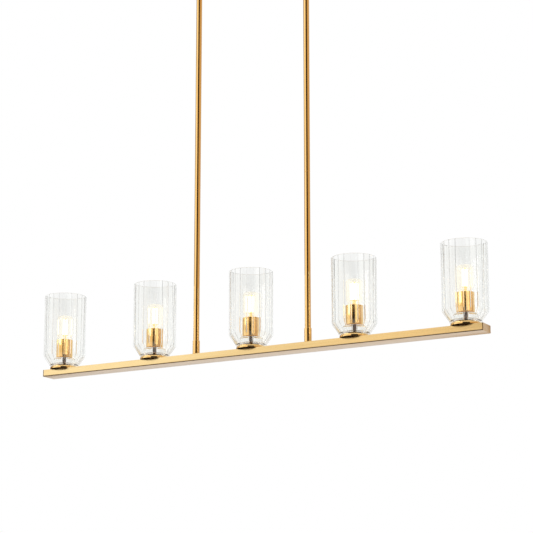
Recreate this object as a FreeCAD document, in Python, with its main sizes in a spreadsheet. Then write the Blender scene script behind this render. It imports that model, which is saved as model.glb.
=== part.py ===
"""A linear island pendant: five fluted glass lamps on one long bar, hung from two rods.

Millimetres, +Z up. The origin is the middle of the ceiling face, so everything hangs below
z = 0. The bar runs along X, and the front of the lamp looks towards -Y.
"""
import FreeCAD, Part
import Sketcher
import math
import os

# Every size that can be set by itself, with what it measures.
SIZES = {
    # bar
    "bar_length": (1200, "bar, end to end"),
    "bar_width": (44.5, "bar, front to back"),
    "bar_height": (17.4, "bar, top to bottom"),
    "bar_wall": (2, "sheet of the channel"),
    "cover_thick": (1.2, "sheet of the bottom cover"),
    "cover_flange": (9, "upturned edge of the bottom cover"),
    "shadow_gap": (0.9, "open line between channel and cover"),
    "cap_thick": (1.5, "plate of an end cap"),
    "tongue_reach": (10, "tongue of an end cap inside the channel"),
    "tongue_thick": (2, "that tongue, top to bottom"),
    "slip": (0.1, "room where one plain piece slides into another"),
    # lamps
    "lamp_spacing": (275.5, "from one lamp to the next"),
    "saucer_radius": (35, "spun saucer under the glass"),
    "saucer_rise": (7.3, "height of the saucer"),
    "saucer_wall": (1.3, "sheet of the saucer"),
    "saucer_roll": (5, "rounding of the saucer's edge"),
    "saucer_hub": (9, "radius of the saucer's hub"),
    "washer_thick": (0.8, "soft washer each side of the glass"),
    "washer_radius": (16, "soft washers"),
    "glass_radius": (53.5, "glass shade, outside"),
    "glass_rise": (181, "glass shade, foot to rim"),
    "glass_wall": (3.6, "glass wall"),
    "glass_foot": (36, "radius where the taper ends at the foot"),
    "glass_bevel": (0.9, "bevel round the rim"),
    "taper_rise": (26, "height of the taper"),
    "floor_thick": (5, "glass floor"),
    "boss_radius": (27, "raised seat in the middle of the glass"),
    "boss_rise": (19.2, "height of that seat above the foot"),
    "flute_depth": (1.1, "how far each flute is pressed into the wall"),
    "flute_count": (20, "flutes round the glass"),
    "flute_land": (0.12, "share of a flute's pitch left as a land"),
    "flute_end": (0.5, "height above the glass floor where the flutes run out"),
    "cup_radius": (20.6, "lampholder cup, outside"),
    "cup_rise": (47, "lampholder cup, height"),
    "cup_wall": (1.2, "lampholder cup, wall"),
    "cup_bevel": (2.5, "bevel of the cup's lower edge"),
    "holder_radius": (17.6, "porcelain lampholder"),
    "holder_rise": (43, "porcelain lampholder, height"),
    "holder_floor": (8, "its threaded floor"),
    "holder_flange": (4, "its flange, which centres it in the cup"),
    "ledge_level": (15.2, "ledge under the bulb cap, above the holder's foot"),
    "contact_well": (11, "radius of the well under that ledge"),
    # bulbs
    "bulb_cap_radius": (13.05, "screw cap of the bulb"),
    "bulb_cap_rise": (20.5, "screw cap, height of its shell"),
    "bulb_tip": (5, "contact and insulator below the shell"),
    "tip_radius": (4.4, "centre contact"),
    "tip_rise": (1.5, "height of the centre contact"),
    "insulator_radius": (10.4, "insulator where it meets the shell"),
    "bulb_slack": (0.3, "room between the bulb and its holder"),
    "neck_radius": (12.3, "neck of the glass bulb"),
    "bulb_radius": (20, "glass bulb"),
    "bulb_wall": (0.8, "wall of the glass bulb"),
    "neck_rise": (16, "neck, from inside the cap to the flare"),
    "flare_rise": (12, "flare from the neck to the full width"),
    "barrel_rise": (51, "straight part of the bulb, with its crown"),
    "crown_round": (8, "rounding of the bulb's crown"),
    "stem_radius": (4, "glass stem inside the bulb"),
    "filament_ring": (5.2, "radius of the circle that the filament sticks stand on"),
    "filament_radius": (1, "one filament stick"),
    "filament_rise": (40, "length of a filament stick"),
    "filament_count": (4, "filament sticks"),
    "spider_lip": (0.5, "edge of a spider beyond its sticks"),
    "spider_thick": (1, "spiders that hold the sticks"),
    # rods
    "rod_spread": (308, "from one rod to the other"),
    "rod_radius": (7.15, "rods, outside"),
    "rod_wall": (1.2, "rods, wall"),
    "seam_level": (416, "joint between the rods, above the bar"),
    "upper_rod": (609.6, "length of an upper rod"),
    "rod_bevel": (0.5, "bevel on the rod ends, which shows as the seam"),
    "coupler_length": (40, "threaded coupler inside the rods"),
    "ferrule_radius": (8.6, "ferrule on the bar"),
    "ferrule_rise": (36, "ferrule, height"),
    "ferrule_foot": (6.4, "radius at the foot of the ferrule"),
    "ferrule_taper": (4, "height of the ferrule's tapered foot"),
    "ferrule_floor": (8, "floor of the ferrule that the rod stands on"),
    # threads, nuts and small screws
    "thread_radius": (4.9, "hollow thread that wires pass through"),
    "wire_radius": (3.2, "bore of that thread"),
    "thread_slip": (0.05, "room round a thread"),
    "thread_tail": (9, "thread below the top of the bar"),
    "nut_radius": (8.1, "hexagon nut across its corners, as a radius"),
    "nut_thick": (4, "hexagon nut"),
    "screw_radius": (2, "canopy, cover and earth screws"),
    "head_radius": (3.8, "head of a small screw"),
    "head_rise": (1.8, "head of a small screw, height"),
    "cover_shank": (4.5, "shank of a cover screw"),
    "cover_screw_pitch": (367, "from one cover screw to the next"),
    # canopy
    "canopy_length": (432, "canopy along the bar"),
    "canopy_width": (127, "canopy across the bar"),
    "canopy_depth": (25.4, "canopy, ceiling to face"),
    "canopy_wall": (1.2, "sheet of the canopy"),
    "canopy_corner": (10, "corner radius of the canopy"),
    "canopy_edge": (3, "rounding of the canopy's lower edge"),
    "strap_length": (226, "mounting strap"),
    "strap_width": (30, "mounting strap, width"),
    "strap_thick": (2, "mounting strap, sheet"),
    "slot_pitch": (88.9, "outlet box screws, centre to centre"),
    "slot_radius": (2.5, "half the width of a slot"),
    "slot_length": (14, "slot, end to end"),
    "knob_spread": (200, "from one canopy screw to the other"),
    "knob_radius": (6.5, "head of a canopy screw"),
    "knob_rise": (8, "head of a canopy screw, height"),
    "knob_bevel": (1.5, "bevel of that head"),
    "earth_place": (22, "earth screw, from the middle"),
    # swivels
    "ball_radius": (9.5, "ball of the hang-straight swivel"),
    "ball_slip": (0.08, "running room round the ball"),
    "ball_drop": (12.4, "ball centre below the canopy's face"),
    "ball_rise": (14, "ball centre above the rod"),
    "ball_neck": (4, "neck under the ball"),
    "collar_rise": (2, "collar that closes the rod's top"),
    "plug_length": (18, "plug inside the rod's top"),
    "seat_radius": (15, "swivel seat under the canopy"),
    "seat_mouth": (6.5, "mouth of the seat below the ball's centre"),
    "seat_bevel": (3, "bevel round the mouth"),
    "seat_neck": (12, "threaded neck of the seat in the canopy"),
    "seat_tail": (9, "that neck above the canopy's face"),
    "seat_nut": (17, "nut on that neck across its corners, as a radius"),
}
LAMPS = 5
COVER_SCREWS = 4
SIDES = {"left": "-1", "right": "1"}
MIDDLE = [("0", "0")]
NEAR = 0.01  # how closely an edge is matched when it is looked up

doc = FreeCAD.newDocument("island_pendant")
sheet = doc.addObject("Spreadsheet::Sheet", "dims")
for row, (alias, (size, meaning)) in enumerate(SIZES.items(), start=1):
    sheet.set(f"A{row}", str(size))
    sheet.set(f"B{row}", meaning)
    sheet.setAlias(f"A{row}", alias)
doc.recompute()

# Levels that several pieces share, as expressions. Lamp levels are above the bar's top face.
BALL_LEVEL = "-(dims.canopy_depth + dims.ball_drop)"
ROD_TOP = f"({BALL_LEVEL} - dims.ball_rise)"
SEAM = f"({ROD_TOP} - dims.upper_rod)"
BAR_TOP = f"({SEAM} - dims.seam_level)"
GLASS_FOOT = "(dims.saucer_rise + dims.washer_thick)"
BOSS_TOP = f"({GLASS_FOOT} + dims.boss_rise)"
CUP_FOOT = f"({BOSS_TOP} + dims.washer_thick)"
HOLDER_FOOT = f"({CUP_FOOT} + dims.cup_wall)"
BULB_SHELL = f"({HOLDER_FOOT} + dims.ledge_level + dims.bulb_slack)"
BULB_FOOT = f"({BULB_SHELL} + dims.bulb_cap_rise - dims.bulb_tip)"
COVER_TOP = "(dims.cover_thick - dims.bar_height)"
SCREW_LEVEL = f"({COVER_TOP} + dims.cover_flange / 2)"

# Widths that one piece takes from another.
THREAD_HOLE = "(dims.thread_radius + dims.thread_slip)"
SCREW_HOLE = "(dims.screw_radius + dims.thread_slip)"
NECK_HOLE = "(dims.seat_neck + dims.thread_slip)"
TUBE_BORE = "(dims.rod_radius - dims.rod_wall)"
TUBE_PLUG = f"({TUBE_BORE} - dims.thread_slip)"
CHANNEL_LENGTH = "(dims.bar_length - 2 * dims.cap_thick)"
INNER_HALF = "(dims.bar_width / 2 - dims.bar_wall)"
FLANGE_HALF = f"({INNER_HALF} - dims.slip)"
WEB_HALF = f"({FLANGE_HALF} - dims.cover_thick)"


# ---------------------------------------------------------------- helpers
def number(text):
    """The value of an expression over the sheet."""
    return float(sheet.evalExpression(text))


def flat(across, up):
    """A point of a sketch from two expressions."""
    return FreeCAD.Vector(number(across), number(up), 0)


def new_body(name):
    body = doc.addObject("PartDesign::Body", name)
    body.Label = name
    return body


def origin_part(body, role):
    return next(part for part in body.Origin.OriginFeatures if part.Role == role)


def place(thing, along="0", across="0", up="0"):
    """Binds where a thing stands to expressions over the sheet."""
    for axis, text in zip("xyz", (along, across, up)):
        thing.setExpression(f"Placement.Base.{axis}", text)
    return thing


def new_sketch(body, name, plane, lift=None):
    sketch = body.newObject("Sketcher::SketchObject", name)
    sketch.AttachmentSupport = (origin_part(body, plane), [""])
    sketch.MapMode = "FlatFace"
    if lift:
        sketch.setExpression("AttachmentOffset.Base.z", lift)
    return sketch


def bind(sketch, kind, *places, size):
    """Adds a constraint whose size is an expression over the sheet."""
    index = sketch.addConstraint(Sketcher.Constraint(kind, *places, number(size)))
    sketch.setExpression(f"Constraints[{index}]", size)


def pin_down(sketch, edge, end, across, up):
    """Ties one end of an edge to the sketch's origin by two bound distances."""
    for kind, axis, text in (("DistanceX", -2, across), ("DistanceY", -1, up)):
        if text == "0":
            sketch.addConstraint(Sketcher.Constraint("PointOnObject", edge, end, axis))
        else:
            bind(sketch, kind, -1, 1, edge, end, size=text)


def join_ends(sketch, count, kind="Coincident"):
    """Joins the first edges of a sketch end to start, all the way round."""
    for edge in range(count):
        sketch.addConstraint(Sketcher.Constraint(kind, edge, 2, (edge + 1) % count, 1))


def outline(body, name, plane, corners, lift=None):
    """A closed outline with straight edges. Each corner is a pair of expressions."""
    sketch = new_sketch(body, name, plane, lift)
    spots = [flat(*corner) for corner in corners]
    for start, end in zip(spots, spots[1:] + spots[:1]):
        sketch.addGeometry(Part.LineSegment(start, end), False)
    join_ends(sketch, len(spots))
    for edge, corner in enumerate(corners):
        pin_down(sketch, edge, 1, *corner)
    return sketch


def rectangle(body, name, plane, half_width, low, high):
    corners = [(f"-{half_width}", low), (half_width, low), (half_width, high),
               (f"-{half_width}", high)]
    return outline(body, name, plane, corners)


def add_circle(sketch, edge, centre, radius):
    """Adds a bound circle as the sketch's edge of that number."""
    ring = Part.Circle(flat(*centre), FreeCAD.Vector(0, 0, 1), number(radius))
    sketch.addGeometry(ring, False)
    pin_down(sketch, edge, 3, *centre)
    bind(sketch, "Radius", edge, size=radius)


def circles(body, name, plane, spots, radius, lift=None):
    sketch = new_sketch(body, name, plane, lift)
    for edge, centre in enumerate(spots):
        add_circle(sketch, edge, centre, radius)
    return sketch


def slot(body, name, middle, half, radius):
    """A slot along X: two tangent arcs about centres that lie half each side of the middle."""
    sketch = new_sketch(body, name, "XY_Plane")
    ends = [(f"{middle} + {half}", -math.pi / 2), (f"{middle} - {half}", math.pi / 2)]
    (right, _), (left, _) = ends
    rims = [(flat(right, radius), flat(left, radius)),
            (flat(left, f"-{radius}"), flat(right, f"-{radius}"))]
    for (centre, turn), rim in zip(ends, rims):
        ring = Part.Circle(flat(centre, "0"), FreeCAD.Vector(0, 0, 1), number(radius))
        sketch.addGeometry(Part.ArcOfCircle(ring, turn, turn + math.pi), False)
        sketch.addGeometry(Part.LineSegment(*rim), False)
    join_ends(sketch, 4, "Tangent")
    sketch.addConstraint(Sketcher.Constraint("Equal", 0, 2))
    bind(sketch, "Radius", 0, size=radius)
    for edge, (centre, _) in zip((0, 2), ends):
        pin_down(sketch, edge, 3, centre, "0")
    return sketch


def revolve(body, corners):
    """Turns an outline drawn as (radius, height) about the body's Z axis."""
    sketch = outline(body, f"{body.Name}_profile", "XZ_Plane", corners)
    feature = body.newObject("PartDesign::Revolution", f"{body.Name}_turned")
    feature.Profile = sketch
    feature.ReferenceAxis = (sketch, ["V_Axis"])
    feature.Angle = 360
    return feature


def turned(name, corners, along="0", across="0", up="0"):
    body = new_body(name)
    revolve(body, corners)
    return place(body, along, across, up)


def pad(body, sketch, length, centred=False):
    feature = body.newObject("PartDesign::Pad", f"{sketch.Name}_pad")
    feature.Profile = sketch
    feature.Midplane = centred
    feature.setExpression("Length", length)
    return feature


def cut_through(body, sketch, both_ways=True):
    """Cuts a sketch right through the body, or through what lies on one side of it."""
    feature = body.newObject("PartDesign::Pocket", f"{sketch.Name}_cut")
    feature.Profile = sketch
    feature.Type = "ThroughAll"
    feature.Midplane = both_ways
    return feature


def fillet(body, radius, wanted):
    """Rounds the edges of the body's last feature that pass a test."""
    doc.recompute()
    base = body.Tip
    names = [f"Edge{i}" for i, edge in enumerate(base.Shape.Edges, start=1) if wanted(edge)]
    feature = body.newObject("PartDesign::Fillet", f"{base.Name}_fillet")
    feature.Base = (base, names)
    feature.setExpression("Radius", radius)
    body.Tip = feature
    return feature


def fillet_ring(body, radius, ring_radius, level):
    """Rounds the full circle of that radius and height in the body's own frame."""
    wide, high = number(ring_radius), number(level)

    def wanted(edge):
        ring = edge.Curve
        return (isinstance(ring, Part.Circle) and abs(ring.Radius - wide) < NEAR
                and abs(ring.Center.z - high) < NEAR)

    return fillet(body, radius, wanted)


def polar(body, feature, axis, count):
    """Repeats a feature round an axis."""
    doc.recompute()
    ring = body.newObject("PartDesign::PolarPattern", f"{feature.Name}_ring")
    ring.Originals = [feature]
    ring.Axis = axis
    ring.Angle = 360
    ring.setExpression("Occurrences", count)
    body.Tip = ring
    return ring


def hexagon_nut(name, corner, bore, thick, along, up):
    """A regular hexagon on a construction circle, with its bore in the same sketch."""
    body = new_body(name)
    sketch = new_sketch(body, f"{name}_profile", "XY_Plane")
    centre, axis, wide = FreeCAD.Vector(), FreeCAD.Vector(0, 0, 1), number(corner)
    turns = [math.tau * side / 6 for side in range(7)]
    spots = [FreeCAD.Vector(wide * math.cos(turn), wide * math.sin(turn), 0) for turn in turns]
    for start, end in zip(spots, spots[1:]):
        sketch.addGeometry(Part.LineSegment(start, end), False)
    guide = sketch.addGeometry(Part.Circle(centre, axis, wide), True)
    hole = sketch.addGeometry(Part.Circle(centre, axis, number(bore)), False)
    join_ends(sketch, 6)
    for side in range(6):
        sketch.addConstraint(Sketcher.Constraint("PointOnObject", side, 1, guide))
        if side:
            sketch.addConstraint(Sketcher.Constraint("Equal", 0, side))
    sketch.addConstraint(Sketcher.Constraint("PointOnObject", 0, 1, -1))
    for ring, size in ((guide, corner), (hole, bore)):
        sketch.addConstraint(Sketcher.Constraint("Coincident", ring, 3, -1, 1))
        bind(sketch, "Radius", ring, size=size)
    pad(body, sketch, thick)
    return place(body, along, "0", up)


def small_screw(name, shank):
    """A pan-headed screw that points up from z = 0, with its head below."""
    corners = [("0", "-dims.head_rise"), ("dims.head_radius", "-dims.head_rise"),
               ("dims.head_radius", "0"), ("dims.screw_radius", "0"),
               ("dims.screw_radius", shank), ("0", shank)]
    return turned(name, corners)


def group(name, members):
    """One node for pieces that are all the same."""
    thing = doc.addObject("Part::Compound", name)
    thing.Label = name
    thing.Links = members
    return thing


def side_place(sign, spread):
    return f"{sign} * dims.{spread} / 2"


def side_spots(spread):
    return [(side_place(sign, spread), "0") for sign in SIDES.values()]


def lamp_place(index):
    """Where a lamp stands along the bar. The middle lamp is on the origin's own line."""
    steps = index - LAMPS // 2
    return f"{steps} * dims.lamp_spacing" if steps else "0"


def one_per_lamp(make, level):
    """Makes a piece once and repeats it at every lamp, at a height above the bar."""
    first = make(f"{make.__name__}_1")
    nodes = [first]
    for index in range(1, LAMPS):
        copy = new_body(f"{make.__name__}_{index + 1}")
        copy.BaseFeature = first
        nodes.append(copy)
    for index, node in enumerate(nodes):
        place(node, lamp_place(index), "0", f"{BAR_TOP} + {level}")
    return nodes


# ---------------------------------------------------------------- ceiling side
def mounting_strap():
    body = new_body("mounting_strap")
    half, wide = "dims.strap_length / 2", "dims.strap_width / 2"
    plate = rectangle(body, "strap_outline", "XY_Plane", half, f"-{wide}", wide)
    pad(body, plate, "dims.strap_thick").Reversed = True
    reach = "(dims.slot_length / 2 - dims.slot_radius)"
    for side, sign in SIDES.items():
        middle = side_place(sign, "slot_pitch")
        cut_through(body, slot(body, f"slot_{side}", middle, reach, "dims.slot_radius"))
    screws = side_spots("knob_spread") + [("dims.earth_place", "0")]
    cut_through(body, circles(body, "strap_screw_holes", "XY_Plane", screws, SCREW_HOLE))
    cut_through(body, circles(body, "strap_wire_hole", "XY_Plane", MIDDLE, THREAD_HOLE))
    return body


def canopy():
    """A pressed pan: a block, rounded and then hollowed from the ceiling side."""
    body = new_body("canopy")
    half, wide = "dims.canopy_length / 2", "dims.canopy_width / 2"
    block = rectangle(body, "canopy_outline", "XY_Plane", half, f"-{wide}", wide)
    pad(body, block, "dims.canopy_depth").Reversed = True
    fillet(body, "dims.canopy_corner", lambda edge: edge.BoundBox.ZLength > NEAR)
    face = -number("dims.canopy_depth")
    fillet(body, "dims.canopy_edge", lambda edge: abs(edge.BoundBox.ZMax - face) < NEAR)
    doc.recompute()
    base = body.Tip
    open_face = next(f"Face{i}" for i, side in enumerate(base.Shape.Faces, start=1)
                     if abs(side.BoundBox.ZMin) < NEAR)
    shell = body.newObject("PartDesign::Thickness", "canopy_shell")
    shell.Base = (base, [open_face])
    shell.setExpression("Value", "dims.canopy_wall")
    shell.Reversed = True
    body.Tip = shell
    necks = side_spots("rod_spread")
    cut_through(body, circles(body, "canopy_neck_holes", "XY_Plane", necks, NECK_HOLE))
    screws = side_spots("knob_spread")
    cut_through(body, circles(body, "canopy_screw_holes", "XY_Plane", screws, SCREW_HOLE))
    return body


def canopy_screws():
    """Knob-headed screws: up through the canopy's face into the strap."""
    face = "-dims.canopy_depth"
    head = f"({face} - dims.knob_rise)"
    corners = [("0", head), ("dims.knob_radius - dims.knob_bevel", head),
               ("dims.knob_radius", f"{head} + dims.knob_bevel"), ("dims.knob_radius", face),
               ("dims.screw_radius", face), ("dims.screw_radius", "0"), ("0", "0")]
    members = [turned(f"canopy_screw_{side}", corners, side_place(sign, "knob_spread"))
               for side, sign in SIDES.items()]
    return group("canopy_screws", members)


def ground_screw():
    screw = small_screw("ground_screw", "dims.strap_thick")
    return place(screw, "dims.earth_place", "0", "-dims.strap_thick")


def swivel_seat(side, sign):
    """Threaded sleeve that holds the ball, under the canopy. Drawn about the ball's centre."""
    bore = "(dims.ball_radius + dims.ball_slip)"
    neck_top = "(dims.ball_drop + dims.seat_tail)"
    corners = [("0", "-dims.seat_mouth"), ("dims.seat_radius - dims.seat_bevel", "-dims.seat_mouth"),
               ("dims.seat_radius", "dims.seat_bevel - dims.seat_mouth"),
               ("dims.seat_radius", "dims.ball_drop"), ("dims.seat_neck", "dims.ball_drop"),
               ("dims.seat_neck", neck_top), (bore, neck_top), (bore, "0"), ("0", "0")]
    body = turned(f"swivel_seat_{side}", corners, side_place(sign, "rod_spread"), "0", BALL_LEVEL)
    cup = body.newObject("PartDesign::SubtractiveSphere", f"swivel_seat_{side}_cup")
    cup.setExpression("Radius", bore)
    return body


def swivel_nuts():
    up = "dims.canopy_wall - dims.canopy_depth"
    members = [hexagon_nut(f"swivel_nut_{side}", "dims.seat_nut", NECK_HOLE, "dims.nut_thick",
                           side_place(sign, "rod_spread"), up) for side, sign in SIDES.items()]
    return group("swivel_nuts", members)


# ---------------------------------------------------------------- rods
def swivel_ball(side, sign):
    """Ball, neck, collar on the rod's end and plug inside it, bored for the wires."""
    name = f"swivel_ball_{side}"
    rod_end, tail = "-dims.ball_rise", "(-dims.ball_rise - dims.plug_length)"
    shoulder = "(dims.collar_rise - dims.ball_rise)"
    corners = [("dims.wire_radius", tail), (TUBE_PLUG, tail), (TUBE_PLUG, rod_end),
               ("dims.rod_radius", rod_end), ("dims.rod_radius", shoulder),
               ("dims.ball_neck", shoulder), ("dims.ball_neck", "0"), ("dims.wire_radius", "0")]
    body = turned(name, corners, side_place(sign, "rod_spread"), "0", BALL_LEVEL)
    ball = body.newObject("PartDesign::AdditiveSphere", f"{name}_sphere")
    ball.setExpression("Radius", "dims.ball_radius")
    cut_through(body, circles(body, f"{name}_bore", "XY_Plane", MIDDLE, "dims.wire_radius"))
    return body


def rod(name, sign, foot, length):
    """A tube with a fine bevel at both ends."""
    bevel = "(dims.rod_radius - dims.rod_bevel)"
    corners = [(TUBE_BORE, "0"), (bevel, "0"), ("dims.rod_radius", "dims.rod_bevel"),
               ("dims.rod_radius", f"{length} - dims.rod_bevel"), (bevel, length),
               (TUBE_BORE, length)]
    return turned(name, corners, side_place(sign, "rod_spread"), "0", foot)


def rod_couplers():
    half = "dims.coupler_length / 2"
    corners = [("dims.wire_radius", f"-{half}"), (TUBE_PLUG, f"-{half}"), (TUBE_PLUG, half),
               ("dims.wire_radius", half)]
    members = [turned(f"rod_coupler_{side}", corners, side_place(sign, "rod_spread"), "0", SEAM)
               for side, sign in SIDES.items()]
    return group("rod_couplers", members)


def ferrule(side, sign):
    """Turned collar with its own threaded spigot through the bar."""
    bore = "(dims.rod_radius + dims.thread_slip)"
    top = "dims.ferrule_rise"
    corners = [("dims.wire_radius", "-dims.thread_tail"), ("dims.thread_radius", "-dims.thread_tail"),
               ("dims.thread_radius", "0"), ("dims.ferrule_foot", "0"),
               ("dims.ferrule_radius", "dims.ferrule_taper"),
               ("dims.ferrule_radius", f"{top} - dims.rod_bevel"),
               ("dims.ferrule_radius - dims.rod_bevel", top), (bore, top),
               (bore, "dims.ferrule_floor"), ("dims.wire_radius", "dims.ferrule_floor")]
    return turned(f"ferrule_{side}", corners, side_place(sign, "rod_spread"), "0", BAR_TOP)


# ---------------------------------------------------------------- bar
def screw_places():
    first = (COVER_SCREWS - 1) / 2
    return [f"{index - first} * dims.cover_screw_pitch" for index in range(COVER_SCREWS)]


def rear_holes(body, name):
    """Holes for the cover screws, through the rear wall only."""
    spots = [(along, SCREW_LEVEL) for along in screw_places()]
    return cut_through(body, circles(body, name, "XZ_Plane", spots, SCREW_HOLE), False)


def bar_channel():
    """Inverted channel: open below, pierced on top for the ferrules and the lamps."""
    body = new_body("bar_channel")
    half, roof = "dims.bar_width / 2", "-dims.bar_wall"
    under = f"({COVER_TOP} + dims.shadow_gap)"
    corners = [(f"-{half}", "0"), (f"-{half}", under), (f"-{INNER_HALF}", under),
               (f"-{INNER_HALF}", roof), (INNER_HALF, roof), (INNER_HALF, under),
               (half, under), (half, "0")]
    pad(body, outline(body, "channel_profile", "YZ_Plane", corners), CHANNEL_LENGTH, True)
    spots = side_spots("rod_spread") + [(lamp_place(index), "0") for index in range(LAMPS)]
    cut_through(body, circles(body, "channel_thread_holes", "XY_Plane", spots, THREAD_HOLE))
    rear_holes(body, "channel_screw_holes")
    return place(body, up=BAR_TOP)


def bar_cover():
    """Bottom tray with two upturned edges inside the channel."""
    body = new_body("bar_cover")
    half, under = "dims.bar_width / 2", "-dims.bar_height"
    lip = f"({COVER_TOP} + dims.cover_flange)"
    corners = [(f"-{half}", under), (half, under), (half, COVER_TOP), (FLANGE_HALF, COVER_TOP),
               (FLANGE_HALF, lip), (WEB_HALF, lip), (WEB_HALF, COVER_TOP),
               (f"-{WEB_HALF}", COVER_TOP), (f"-{WEB_HALF}", lip), (f"-{FLANGE_HALF}", lip),
               (f"-{FLANGE_HALF}", COVER_TOP), (f"-{half}", COVER_TOP)]
    length = f"{CHANNEL_LENGTH} - 2 * dims.slip"
    pad(body, outline(body, "cover_profile", "YZ_Plane", corners), length, True)
    rear_holes(body, "cover_screw_taps")
    return place(body, up=BAR_TOP)


def cover_screws():
    """Small screws through the rear wall into the cover's rear edge."""
    level = f"{BAR_TOP} + {SCREW_LEVEL}"
    members = []
    for index, along in enumerate(screw_places()):
        screw = small_screw(f"cover_screw_{index + 1}", "dims.cover_shank")
        screw.Placement.Rotation = FreeCAD.Rotation(FreeCAD.Vector(1, 0, 0), 90)
        members.append(place(screw, along, "dims.bar_width / 2", level))
    return group("cover_screws", members)


def end_cap(side, sign):
    """Plate over the bar's end, with a tongue under the channel's roof."""
    name = f"end_cap_{side}"
    body = new_body(name)
    half, under = "dims.bar_width / 2", "-dims.bar_height"
    plate = rectangle(body, f"{name}_plate", "YZ_Plane", half, under, "0")
    roof = "(-dims.bar_wall - dims.slip)"
    tongue = rectangle(body, f"{name}_tongue", "YZ_Plane", f"({WEB_HALF} - dims.slip)",
                       f"{roof} - dims.tongue_thick", roof)
    for sketch, length in ((plate, "dims.cap_thick"),
                           (tongue, "dims.cap_thick + dims.tongue_reach")):
        pad(body, sketch, length).Reversed = side == "right"
    return place(body, side_place(sign, "bar_length"), "0", BAR_TOP)


def bar_nuts():
    """Nuts under the channel's roof, on the ferrule spigots and the lamp threads."""
    spots = {f"rod_{side}": side_place(sign, "rod_spread") for side, sign in SIDES.items()}
    spots.update({f"lamp_{index + 1}": lamp_place(index) for index in range(LAMPS)})
    up = f"{BAR_TOP} - dims.bar_wall - dims.nut_thick"
    members = [hexagon_nut(f"bar_nut_{tag}", "dims.nut_radius", THREAD_HOLE, "dims.nut_thick",
                           along, up) for tag, along in spots.items()]
    return group("bar_nuts", members)


# ---------------------------------------------------------------- lamps
def socket_nipples():
    """Hollow threads that clamp cup, glass and saucer to the bar."""
    foot, top = "-dims.thread_tail", f"({HOLDER_FOOT} + dims.holder_floor)"
    corners = [("dims.wire_radius", foot), ("dims.thread_radius", foot),
               ("dims.thread_radius", top), ("dims.wire_radius", top)]
    members = [turned(f"socket_nipple_{index + 1}", corners, lamp_place(index), "0", BAR_TOP)
               for index in range(LAMPS)]
    return group("socket_nipples", members)


def shade_washers():
    corners = [(THREAD_HOLE, "0"), ("dims.washer_radius", "0"),
               ("dims.washer_radius", "dims.washer_thick"), (THREAD_HOLE, "dims.washer_thick")]
    levels = {"under": "dims.saucer_rise", "over": BOSS_TOP}
    members = [turned(f"washer_{tag}_{index + 1}", corners, lamp_place(index), "0",
                      f"{BAR_TOP} + {level}")
               for index in range(LAMPS) for tag, level in levels.items()]
    return group("shade_washers", members)


def saucer(name):
    """Spun dish, turned rim down, with a hub that stands on the bar."""
    inside = "(dims.saucer_radius - dims.saucer_wall)"
    roof = "(dims.saucer_rise - dims.saucer_wall)"
    bend = "(dims.saucer_roll - dims.saucer_wall)"
    corners = [(THREAD_HOLE, "0"), ("dims.saucer_hub", "0"), ("dims.saucer_hub", roof),
               (f"{inside} - {bend}", roof), (inside, f"{roof} - {bend}"), (inside, "0"),
               ("dims.saucer_radius", "0"), ("dims.saucer_radius", "dims.saucer_rise"),
               (THREAD_HOLE, "dims.saucer_rise")]
    body = turned(name, corners)
    fillet_ring(body, "dims.saucer_roll", "dims.saucer_radius", "dims.saucer_rise")
    return body


def flute_section(body, name, wall_radius, depth, level):
    """One flute across the wall: an arc pressed outwards, closed inside the hollow."""
    sketch = new_sketch(body, name, "XY_Plane", level)
    half = "(180 / dims.flute_count * (1 - dims.flute_land))"
    near, side = f"({wall_radius} * cos({half}))", f"({wall_radius} * sin({half}))"
    back = f"({wall_radius} - 2 * dims.glass_wall)"
    crest = f"({wall_radius} + {depth})"
    corners = [(near, f"-{side}"), (near, side), (back, side), (back, f"-{side}")]
    low, high, back_high, back_low = [flat(*corner) for corner in corners]
    sketch.addGeometry(Part.Arc(low, flat(crest, "0"), high), False)
    for start, end in ((high, back_high), (back_high, back_low), (back_low, low)):
        sketch.addGeometry(Part.LineSegment(start, end), False)
    join_ends(sketch, len(corners))
    for edge, corner in enumerate(corners):
        pin_down(sketch, edge, 1, *corner)
    rise = f"({crest} - {near})"
    bind(sketch, "Radius", 0, size=f"({side} ^ 2 + {rise} ^ 2) / (2 * {rise})")
    return sketch


def shade(name):
    """Pressed glass: plain outside, fluted inside, with a tapered foot and a thick seat."""
    body = new_body(name)
    inside = "(dims.glass_radius - dims.glass_wall)"
    floor_radius = "(dims.glass_foot - dims.glass_wall)"
    corners = [(THREAD_HOLE, "0"), ("dims.glass_foot", "0"), ("dims.glass_radius", "dims.taper_rise"),
               ("dims.glass_radius", "dims.glass_rise - dims.glass_bevel"),
               ("dims.glass_radius - dims.glass_bevel", "dims.glass_rise"),
               (inside, "dims.glass_rise"), (inside, "dims.taper_rise"),
               (floor_radius, "dims.floor_thick"), ("dims.boss_radius", "dims.floor_thick"),
               ("dims.boss_radius", "dims.boss_rise"), (THREAD_HOLE, "dims.boss_rise")]
    revolve(body, corners)
    levels = [("top", inside, "dims.flute_depth", "dims.glass_rise + dims.flute_depth"),
              ("bend", inside, "dims.flute_depth", "dims.taper_rise"),
              ("foot", floor_radius, "0", "dims.floor_thick + dims.flute_end")]
    top, bend, foot = [flute_section(body, f"{name}_flute_{tag}", radius, depth, level)
                       for tag, radius, depth, level in levels]
    flute = body.newObject("PartDesign::SubtractiveLoft", f"{name}_flute")
    flute.Profile = top
    flute.Sections = [bend, foot]
    flute.Ruled = True
    polar(body, flute, (top, ["N_Axis"]), "dims.flute_count")
    return body


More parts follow.
